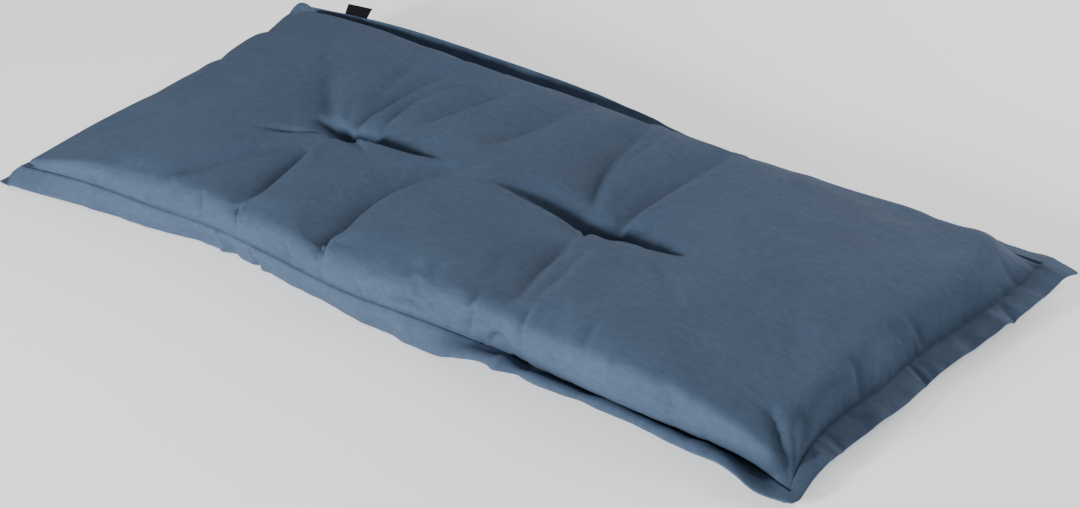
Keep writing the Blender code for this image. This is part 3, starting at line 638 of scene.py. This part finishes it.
def meshPiece(name, verts, quads, uv, material, tris=np.zeros((0, 3)), paintedFoldShade=None):
    # puts whole arrays into a new mesh object
    mesh = bpy.data.meshes.new(name)
    sizes = np.concatenate([np.full(len(quads), 4), np.full(len(tris), 3)])
    corners = np.concatenate([np.ravel(quads), np.ravel(tris)]).astype(np.int32)
    mesh.vertices.add(len(verts))
    mesh.loops.add(len(corners))
    mesh.polygons.add(len(sizes))
    mesh.vertices.foreach_set("co", np.asarray(verts, np.float32).ravel())
    mesh.loops.foreach_set("vertex_index", corners)
    mesh.polygons.foreach_set("loop_start", runningSum(sizes)[:-1].astype(np.int32))
    mesh.polygons.foreach_set("use_smooth", np.ones(len(sizes), bool))
    mesh.update(calc_edges=True)
    layer = mesh.uv_layers.new(name="cloth")
    layer.data.foreach_set("uv", np.asarray(uv, np.float32)[corners].ravel())
    # the painted shade of the folds and groove goes in as a point attribute
    if paintedFoldShade is not None:
        mesh.attributes.new("paintedFoldShade", "FLOAT", "POINT").data.foreach_set("value", paintedFoldShade.astype(np.float32))
    if material:
        mesh.materials.append(material)
    piece = bpy.data.objects.new(name, mesh)
    bpy.context.scene.collection.objects.link(piece)
    return piece


settle = {
    "points": (225, 95),
    "startLower": 0.003,         # the copy starts this much below the crown and swells back
    "edgeBand": 0.030,           # over this distance from the seam it gets there
    "frames": 20,
    "pressure": 4.0,
    "tension": 25.0,
    "bending": 6.0,
    "growth": 0.003,             # how much the cloth may lengthen before it pulls
    "cap": 0.006,                # no point moves further
    "holdWidth": 0.010,          # round a tuft
    "holdDepth": 0.020,          # a fold this deep is held fast
    "holdEdge": 0.004,           # and so is this band inside the seam
    "fade": 0.020,
    "cornerCalm": 0.190,         # near a corner the cloth keeps its own surface
    "ease": 0.003,               # the swollen crown is let down this much
    "easeBand": 0.05,
    "middleFrom": 0.06,          # the mean rise is printed for points this far inside
}


def cubicWeights(coarse, fine):
    # Catmull-Rom weights that read values on the fine lines from evenly spaced coarse ones
    place = np.clip((fine - coarse[0]) / (coarse[1] - coarse[0]), 0, len(coarse) - 1.000001)
    low = np.floor(place).astype(int)
    f = place - low
    shares = (-0.5 * f ** 3 + f * f - 0.5 * f, 1.5 * f ** 3 - 2.5 * f * f + 1,
              -1.5 * f ** 3 + 2 * f * f + 0.5 * f, 0.5 * f ** 3 - 0.5 * f * f)
    weights = np.zeros((len(fine), len(coarse)))
    for offset, share in zip((-1, 0, 1, 2), shares):
        np.add.at(weights, (np.arange(len(fine)), np.clip(low + offset, 0, len(coarse) - 1)), share)
    return weights


def settledMove(linesA, linesB):
    # Blender Cloth swells a coarser copy of the crown, held at the seam, tufts and folds; what each point
    # moved from the crown's own surface, capped, is then read on the fine lines
    coarseA, coarseB = (np.linspace(-half, half, count) for half, count
                        in zip((halfLength, halfWidth), settle["points"]))
    a, b = np.meshgrid(coarseA, coarseB, indexing="ij")
    fromSeam = seamDistance(a, b)
    rest = padSurface(a, b)
    hold = np.clip(foldDepth(a, b, "folds") / settle["holdDepth"], 0, 1)
    for along, across, _, _, _ in pad["tufts"]:
        hold = np.maximum(hold, bell(np.hypot(a - along, b - across), settle["holdWidth"]))
    hold = np.where(fromSeam < settle["holdEdge"], 1.0, hold)
    inward = np.clip(fromSeam / settle["edgeBand"], 0, 1)
    start = rest - gridNormals(rest) * (settle["startLower"] * inward * (1 - 0.5 * hold))[..., None]
    quads = gridQuads(np.arange(a.size).reshape(a.shape))
    piece = meshPiece("settleCopy", start.reshape(-1, 3), quads, np.zeros((a.size, 2)), None)
    group = piece.vertex_groups.new(name="held")
    levels = np.round(hold.ravel(), 1)
    for level in np.unique(levels[levels > 0]):
        group.add(np.flatnonzero(levels == level).tolist(), float(level), "REPLACE")
    modifier = piece.modifiers.new("cloth", "CLOTH")
    settings = modifier.settings
    settings.use_pressure = True
    settings.uniform_pressure_force = settle["pressure"]
    settings.effector_weights.gravity = 0
    settings.vertex_group_mass = "held"
    settings.tension_stiffness = settings.compression_stiffness = settle["tension"]
    settings.shear_stiffness = settle["tension"] / 2
    settings.bending_stiffness = settle["bending"]
    settings.shrink_min = -settle["growth"]
    modifier.collision_settings.use_collision = False
    modifier.point_cache.frame_end = settle["frames"]
    scene = bpy.context.scene
    for number in range(1, settle["frames"] + 1):
        scene.frame_set(number)
    graph = bpy.context.evaluated_depsgraph_get()
    done = np.empty(a.size * 3, np.float32)
    piece.evaluated_get(graph).data.vertices.foreach_get("co", done)
    bpy.data.objects.remove(piece, do_unlink=True)
    scene.frame_set(1)
    move = done.reshape(rest.shape) - rest
    size = np.linalg.norm(move, axis=-1, keepdims=True)
    move = move * np.minimum(1, settle["cap"] / np.maximum(size, 1e-9))
    calm = np.clip(fromSeam / settle["fade"], 0, 1)
    for along, across, _, _, _ in pad["corners"]:
        calm = calm * (1 - np.exp(-(np.hypot(a - along, b - across) / settle["cornerCalm"]) ** 4))
    move *= calm[..., None]
    middleRise = move[..., 2][fromSeam > settle["middleFrom"]].mean()
    print("cloth settled: the middle rose by a mean of", round(float(middleRise) * 1000, 2), "mm")
    move[..., 2] -= settle["ease"] * np.clip(fromSeam / settle["easeBand"], 0, 1)
    alongA, alongB = cubicWeights(coarseA, linesA), cubicWeights(coarseB, linesB)
    return np.einsum("ik,klc,jl->ijc", alongA, move, alongB, optimize=True)


def buildPad(material):
    # a closed surface: the top grid, the flange's underside in rings that share the top's edge, and a lower
    # wall and flat underside in shrinking rings that end in one middle point
    linesA = gridLines(halfLength, pad["crownCells"][0], pad["endWallLines"], pad["closeAlong"])
    linesB = gridLines(halfWidth, pad["crownCells"][1], pad["longWallLines"], pad["closeAcross"])
    a, b = np.meshgrid(linesA, linesB, indexing="ij")
    print("pad grid", a.shape)
    moved = settledMove(linesA, linesB)
    top, depth = topPoints(a, b, moved)
    index = np.arange(a.size).reshape(a.shape)
    quads = [gridQuads(index)]

    # underside of the flange: same edge points, then rings inward to the seam
    steps = len(pad["flangeLines"]) - 1
    middle, normal, half = flangeLayers(a, b)
    under = middle - normal * half[..., None]
    under[..., 2] = np.maximum(under[..., 2], 0.0)
    flatPlace = np.stack([panelPlace(a, halfLength), panelPlace(b, halfWidth)], axis=-1)
    verts, uv = [top.reshape(-1, 3)], [flatPlace.reshape(-1, 2)]
    underIndex = np.full(a.shape, -1)
    i, j = ringOf(*a.shape, 0)
    underIndex[i, j] = index[i, j]
    count = a.size
    for inset in range(1, steps + 1):
        i, j = ringOf(*a.shape, inset)
        underIndex[i, j] = count + np.arange(len(i))
        count += len(i)
        verts.append(under[i, j])
        uv.append(flatPlace[i, j])
    cells = gridQuads(underIndex.T)
    quads.append(cells[(cells >= 0).all(axis=1)])

    # lower wall and flat underside, its corners drawn in
    i, j = ringOf(*a.shape, steps)
    last = underIndex[i, j]
    panel = np.stack([a[i, j], b[i, j]], axis=-1)
    shrink = pad["undersideReach"] / np.array([halfLength, halfWidth])
    draw, reach, haste = pad["undersideRounding"]
    cornerAway = np.linalg.norm((halfLength, halfWidth) - np.abs(panel), axis=-1, keepdims=True)
    drawn = np.sign(panel) * draw * bell(cornerAway, reach)
    for share in np.arange(1, pad["undersideSteps"] + 1) / pad["undersideSteps"]:
        ring = under[i, j]
        ring[:, :2] = ring[:, :2] * (1 - shrink * share) - drawn * min(1, haste * share)
        ring[:, 2] *= (1 - share) ** pad["undersidePower"]
        here = count + np.arange(len(ring))
        count += len(ring)
        verts.append(ring)
        uv.append(flatPlace[i, j] * (1 - shrink * share))
        quads.append(np.stack([last, here, np.roll(here, -1), np.roll(last, -1)], axis=-1))
        last = here
    verts.append(np.zeros((1, 3)))
    uv.append(np.zeros((1, 2)))
    tris = np.stack([np.roll(last, -1), last, np.full(len(last), count)], axis=-1)
    verts = np.concatenate(verts) + pad["centring"]
    # painted shade: each top point keeps how deep it lies in folds, creases, dents and the seam's groove, to
    # darken its colour
    paintedFoldShade = np.zeros(len(verts))
    paintedFoldShade[:a.size] = np.clip(depth / cloth["paintedShadeDepth"], 0, 1).ravel()
    return meshPiece("cushionPad", verts, np.concatenate(quads), np.concatenate(uv), material, tris, paintedFoldShade)


cloth = {
    "darkYarn": (0.038, 0.061, 0.104, 1),
    "lightYarn": (0.068, 0.106, 0.172, 1),
    # length and width of the streaks and slubs of the yarn, of the mottling and of the slow clouds
    "streak": (0.012, 0.0008),
    "slub": (0.030, 0.0018),
    "mottle": (0.011, 0.0066),
    "cloud": (0.090, 0.063),
    # fineness of warp, weft, slub, mottle and cloud, and their shares in the tone
    "details": (2.0, 2.0, 1.0, 3.0, 2.0),
    "shares": (0.6, 0.6, 0.4, 0.7, 0.5),
    "noiseRoughness": 0.55,
    "yarnPitch": 0.0009,
    "paintedShadeDepth": 0.014,       # a fold this deep gets the full painted shade
    # share of the yarn colour left under the full painted shade in the folds
    "paintedShadeTone": 0.72,
    "lightRoughness": 0.86,      # roughness of the lightest yarn; the darkest has 1
    "specular": 0.3,
    "weaveShares": (0.6, 0.5, 0.5),          # of weave, warp and weft in the fine relief
    "weaveHeight": 0.00022,
    "pucker": (0.007, 0.007),
    "puckerDetail": 2.0,
    "puckerRelief": 0.00045,
    "bumpStrength": 0.6,
}


def addNode(tree, kind, inputs, **settings):
    # a new shader node; each input is set to a value or linked to another node's output
    node = tree.nodes.new(kind)
    for key, value in settings.items():
        setattr(node, key, value)
    for key, value in inputs.items():
        if isinstance(value, bpy.types.NodeSocket):
            tree.links.new(value, node.inputs[key])
        else:
            node.inputs[key].default_value = value
    return node


def newMaterial(name, values):
    # a material, its nodes and its shader, which gets these values
    material = bpy.data.materials.new(name)
    material.use_nodes = True
    shader = material.node_tree.nodes["Principled BSDF"]
    for key, value in values.items():
        shader.inputs[key].default_value = value
    return material, material.node_tree, shader


def stretchedNoise(tree, place, size, detail):
    # noise whose grains have these two sizes in metres
    scaled = addNode(tree, "ShaderNodeMapping", {"Vector": place, "Scale": (1 / size[0], 1 / size[1], 1)})
    return addNode(tree, "ShaderNodeTexNoise", {"Vector": scaled.outputs["Vector"], "Scale": 1.0,
                                                "Detail": detail,
                                                "Roughness": cloth["noiseRoughness"]}).outputs["Fac"]


def addUp(tree, values, shares):
    # weighted sum of (value - 0.5), put round 0.5
    total = None
    for value, share in zip(values, shares):
        inputs = {0: value, 1: share, 2: -share / 2 + (0.5 if total is None else 0)}
        term = addNode(tree, "ShaderNodeMath", inputs, operation="MULTIPLY_ADD").outputs[0]
        total = term if total is None else addNode(tree, "ShaderNodeMath", {0: total, 1: term}).outputs[0]
    return total


def weaveHeight(tree, place, pitch):
    # plain weave: on alternate squares a ridge of warp or of weft
    bands = [addNode(tree, "ShaderNodeTexWave", {"Vector": place, "Scale": np.pi / 10 / pitch},
                     bands_direction=way).outputs["Fac"] for way in ("X", "Y")]
    square = addNode(tree, "ShaderNodeTexChecker", {"Vector": place, "Scale": 1 / pitch}).outputs["Fac"]
    return addNode(tree, "ShaderNodeMix", {"Factor": square, "A": bands[0], "B": bands[1]}).outputs["Result"]


def clothMaterial():
    # yarn streaks both ways, slubs, mottling and slow clouds mix two yarn colours; folds, creases and the
    # seam's groove get painted shade
    material, tree, shader = newMaterial("padCloth", {"Specular IOR Level": cloth["specular"]})
    place = addNode(tree, "ShaderNodeUVMap", {}, uv_map="cloth").outputs["UV"]
    sizes = (cloth["streak"], cloth["streak"][::-1], cloth["slub"], cloth["mottle"], cloth["cloud"])
    noises = [stretchedNoise(tree, place, size, detail) for size, detail in zip(sizes, cloth["details"])]
    tone = addUp(tree, noises, cloth["shares"])
    yarns = addNode(tree, "ShaderNodeMix", {"Factor": tone, 6: cloth["darkYarn"], 7: cloth["lightYarn"]},
                    data_type="RGBA").outputs[2]
    # painted shade: the yarn colour is darkened by the depth of the folds, creases and groove
    paintedFoldShade = addNode(tree, "ShaderNodeAttribute", {}, attribute_name="paintedFoldShade").outputs["Fac"]
    shade = addNode(tree, "ShaderNodeMapRange", {"Value": paintedFoldShade, "To Min": 1.0,
                                                 "To Max": cloth["paintedShadeTone"]}).outputs["Result"]
    toned = addNode(tree, "ShaderNodeVectorMath", {0: yarns, "Scale": shade}, operation="SCALE").outputs[0]
    tree.links.new(toned, shader.inputs["Base Color"])
    rough = addNode(tree, "ShaderNodeMapRange", {"Value": tone, "To Min": 1.0,
                                                 "To Max": cloth["lightRoughness"]})
    tree.links.new(rough.outputs["Result"], shader.inputs["Roughness"])
    fine = addUp(tree, (weaveHeight(tree, place, cloth["yarnPitch"]), *noises[:2]), cloth["weaveShares"])
    fineBump = addNode(tree, "ShaderNodeBump", {"Height": fine, "Strength": cloth["bumpStrength"],
                                                "Distance": cloth["weaveHeight"]})
    soft = stretchedNoise(tree, place, cloth["pucker"], cloth["puckerDetail"])
    bump = addNode(tree, "ShaderNodeBump", {"Height": soft, "Strength": cloth["bumpStrength"],
                                            "Distance": cloth["puckerRelief"],
                                            "Normal": fineBump.outputs["Normal"]})
    tree.links.new(bump.outputs["Normal"], shader.inputs["Normal"])
    return material


cushionPad = buildPad(clothMaterial())
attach(cushionPad, "root")
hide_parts("cushion")
print("pad made:", len(cushionPad.data.polygons), "faces")

stitching = {
    "outside": 0.0022,           # distance of the stitch line outside the seam
    "pitch": 0.0042,
    "length": 0.0037,
    "radius": 0.00027,
    "lift": 0.00012,             # how far its middle bows out of the cloth
    "rings": 7,
    "sides": 6,
    "colour": (0.052, 0.088, 0.148, 1),
    "roughness": 0.7,
}


def stitchLine():
    # panel places and directions of the stitches, evenly spaced along the four sides
    x, y = halfLength + stitching["outside"], halfWidth + stitching["outside"]
    corners = np.array([(-x, -y), (x, -y), (x, y), (-x, y), (-x, -y)])
    centres, ways = [], []
    for corner, run in zip(corners, np.diff(corners, axis=0)):
        count = int(np.abs(run).sum() / stitching["pitch"])
        centres.append(corner + ((np.arange(count) + 0.5) / count)[:, None] * run)
        ways.append(np.tile(np.sign(run), (count, 1)))
    return np.concatenate(centres), np.concatenate(ways)


def buildStitching(material):
    # each stitch is a short thread with round ends that bows out of the cloth and dips in at both ends
    centres, ways = stitchLine()
    share = np.linspace(-1, 1, stitching["rings"])
    line = centres[:, None, :] + ways[:, None, :] * (share * stitching["length"] / 2)[:, None]
    middle, normal, half = flangeLayers(line[..., 0], line[..., 1])
    bow = stitching["lift"] - (stitching["lift"] + 2 * stitching["radius"]) * share ** 4
    path = middle + normal * (half + bow)[..., None]
    ahead = np.gradient(path, axis=1)
    ahead /= np.linalg.norm(ahead, axis=-1, keepdims=True)
    aside = np.cross(normal, ahead)
    up = np.cross(ahead, aside)
    radius = stitching["radius"] * np.sqrt(np.clip(1.02 - share ** 6, 0, 1))
    turn = np.arange(stitching["sides"]) / stitching["sides"] * 2 * np.pi
    around = aside[:, :, None] * np.cos(turn)[:, None] + up[:, :, None] * np.sin(turn)[:, None]
    verts = path[:, :, None] + around * radius[:, None, None]
    index = np.arange(verts[..., 0].size).reshape(verts.shape[:3])
    beside = np.roll(index, -1, axis=2)
    quads = np.stack([index[:, :-1], beside[:, :-1], beside[:, 1:], index[:, 1:]], axis=-1).reshape(-1, 4)
    caps = [index[:, ring][:, order] for ring, order in
            ((0, (0, 5, 4, 3)), (0, (0, 3, 2, 1)), (-1, (0, 1, 2, 3)), (-1, (0, 3, 4, 5)))]
    verts = verts.reshape(-1, 3) + pad["centring"]
    uv = np.repeat(line.reshape(-1, 2), stitching["sides"], axis=0)
    return meshPiece("flangeStitching", verts, np.concatenate([quads, *caps]), uv, material)


thread, _, _ = newMaterial("stitchThread", {"Base Color": stitching["colour"],
                                            "Roughness": stitching["roughness"]})
flangeStitching = buildStitching(thread)
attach(flangeStitching, "root")
print("stitching made:", len(flangeStitching.data.polygons), "faces")

tab = {
    "from": -0.506,
    "to": -0.465,
    "height": 0.0145,
    "thickness": 0.0016,         # over both layers of the folded ribbon
    "ribbon": 0.0007,            # one layer
    "sunk": 0.0004,              # how far the feet start inside the flange's edge
    "columns": 40,
    "layerRows": 14,
    "bendRows": 10,
    "lean": (0.00042, 0.0012),   # how far the left and right corners of the free end lean back
    "skew": (0.0008, 0.0040),    # and how far they are pulled to the right
    "selvedge": 0.00012,         # how much thicker the woven edge is
    "selvedgeWidth": 0.0011,
    "yarnPitch": 0.0005,
    "yarnRelief": 0.0001,
    "bumpStrength": 0.7,
    "colour": (0.004, 0.004, 0.005, 1),
    "roughness": 0.7,
    "specular": 0.12,
}


def buildTab(material):
    # a ribbon folded in two: up the front, round a half circle and down the back, as an outer and an inner
    # layer, sunk a little in the flange's edge
    a = np.linspace(tab["from"], tab["to"], tab["columns"] + 1)
    b = np.full(a.shape, halfWidth + pad["flangeWidth"])
    edge, _ = flangeMiddle(a, b)
    rise = np.radians(-sideColumn("farSide", "edge", a))
    outward = np.stack([np.zeros(a.shape), np.cos(rise), np.sin(rise)], axis=-1)
    through = np.stack([np.zeros(a.shape), -np.sin(rise), np.cos(rise)], axis=-1)
    bend = tab["thickness"] / 2
    flat = tab["height"] - bend
    turn = np.linspace(0, np.pi, tab["bendRows"] + 1)
    up = np.linspace(-tab["sunk"], flat, tab["layerRows"], endpoint=False)
    rows = []
    for side in (bend, bend - tab["ribbon"]):
        height = np.concatenate([up, flat + side * np.sin(turn), up[::-1]])
        depth = np.concatenate([np.full(len(up), side), side * np.cos(turn), np.full(len(up), -side)])
        rows.append((height, depth))
    fromEdge = np.minimum(a - a[0], a[-1] - a)
    thick = tab["selvedge"] * bell(fromEdge, tab["selvedgeWidth"])
    lean, skew = (np.interp(a, (a[0], a[-1]), tab[name]) for name in ("lean", "skew"))
    layers = []
    for (height, depth), sign in zip(rows, (1, -1)):
        share = np.clip(height / tab["height"], 0, 1)[:, None]
        out = depth[:, None] + sign * np.sign(depth)[:, None] * thick - lean * share ** 2
        layer = edge + outward * height[:, None, None] + through * out[..., None]
        layer[..., 0] += share * skew
        layers.append(layer.reshape(-1, 3))
    rowCount, columnCount = len(rows[0][0]), len(a)
    outer, inner = np.arange(2 * rowCount * columnCount).reshape(2, rowCount, columnCount)
    rims = ((inner[:, 0], outer[:, 0]), (outer[:, -1], inner[:, -1]),
            (outer[0], inner[0]), (inner[-1], outer[-1]))
    quads = [gridQuads(outer[:, ::-1]), gridQuads(inner), *(gridQuads(np.stack(rim)) for rim in rims)]
    along = np.concatenate([runningSum(np.hypot(np.diff(height), np.diff(depth))) for height, depth in rows])
    uv = np.stack([np.tile(a, 2 * rowCount), np.repeat(along, columnCount)], axis=-1)
    verts = np.concatenate(layers) + pad["centring"]
    return meshPiece("wovenTab", verts, np.concatenate(quads), uv, material)


def ribbonMaterial():
    # black, with the relief of its weave
    material, tree, shader = newMaterial("tabRibbon", {
        "Base Color": tab["colour"], "Roughness": tab["roughness"], "Specular IOR Level": tab["specular"]})
    place = addNode(tree, "ShaderNodeUVMap", {}, uv_map="cloth").outputs["UV"]
    bump = addNode(tree, "ShaderNodeBump", {"Height": weaveHeight(tree, place, tab["yarnPitch"]),
                                            "Strength": tab["bumpStrength"], "Distance": tab["yarnRelief"]})
    tree.links.new(bump.outputs["Normal"], shader.inputs["Normal"])
    return material


wovenTab = buildTab(ribbonMaterial())
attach(wovenTab, "root")
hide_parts("tab")
print("tab made")

studio = {
    "target": (0.12773, -0.05921, 0.03),
    "azimuth": 43.313,
    "elevation": 27.573,
    "roll": -3.842,
    "distance": 2.1289,
    "focal": 65.43,
    "floorSize": 30.0,
    "floorColour": (0.93, 0.93, 0.93, 1),
    "floorRoughness": 0.9,
    "floorGlow": 0.45,
    # name, place, size and power of each light, and the point that they face
    "lights": (
        ("keyLight", (-0.60, -3.1, 0.92), 0.7, 172.0),
        ("fillLight", (1.9, 1.6, 1.8), 1.6, 35.0),
        ("backLight", (0.2, 3.2, 0.9), 1.2, 80.0),
    ),
    "lit": (0, 0, 0.03),
    "skyStrength": 0.28,
}


def buildCamera():
    # back points from the target to the camera; right and up are turned by the roll
    azimuth, elevation, roll = np.radians([studio["azimuth"], studio["elevation"], studio["roll"]])
    away = np.cos(elevation)
    back = np.array([np.sin(azimuth) * away, -np.cos(azimuth) * away, np.sin(elevation)])
    level = np.array([np.cos(azimuth), np.sin(azimuth), 0])
    upward = np.cross(back, level)
    right = np.cos(roll) * level + np.sin(roll) * upward
    up = -np.sin(roll) * level + np.cos(roll) * upward
    place = np.array(studio["target"]) + back * studio["distance"]
    data = bpy.data.cameras.new("camera")
    data.sensor_width = 36
    data.lens = studio["focal"]
    camera = bpy.data.objects.new("camera", data)
    camera.matrix_world = Matrix([[*row, p] for row, p in zip(np.stack([right, up, back], axis=1), place)]
                                 + [[0, 0, 0, 1]])
    bpy.context.scene.collection.objects.link(camera)
    bpy.context.scene.camera = camera


def softLight(name, place, size, power):
    # a round area light that faces the cushion
    data = bpy.data.lights.new(name, "AREA")
    data.shape = "DISK"
    data.size = size
    data.energy = power
    light = bpy.data.objects.new(name, data)
    light.location = place
    light.rotation_euler = (Vector(studio["lit"]) - Vector(place)).to_track_quat("-Z", "Y").to_euler()
    bpy.context.scene.collection.objects.link(light)


def buildStudio():
    # a plain pale floor that glows a little, three soft lights and a white sky
    paint, _, _ = newMaterial("floorPaint", {
        "Base Color": studio["floorColour"], "Roughness": studio["floorRoughness"],
        "Emission Color": (1, 1, 1, 1), "Emission Strength": studio["floorGlow"]})
    half = studio["floorSize"] / 2
    corners = np.array([(-half, -half, 0), (half, -half, 0), (half, half, 0), (-half, half, 0)])
    floor = meshPiece("floor", corners, np.array([[0, 1, 2, 3]]), corners[:, :2], paint)
    for light in studio["lights"]:
        softLight(*light)
    world = bpy.data.worlds.new("sky")
    world.use_nodes = True
    background = world.node_tree.nodes["Background"]
    background.inputs["Color"].default_value = (1, 1, 1, 1)
    background.inputs["Strength"].default_value = studio["skyStrength"]
    bpy.context.scene.world = world


buildCamera()
buildStudio()
print("camera and light set")
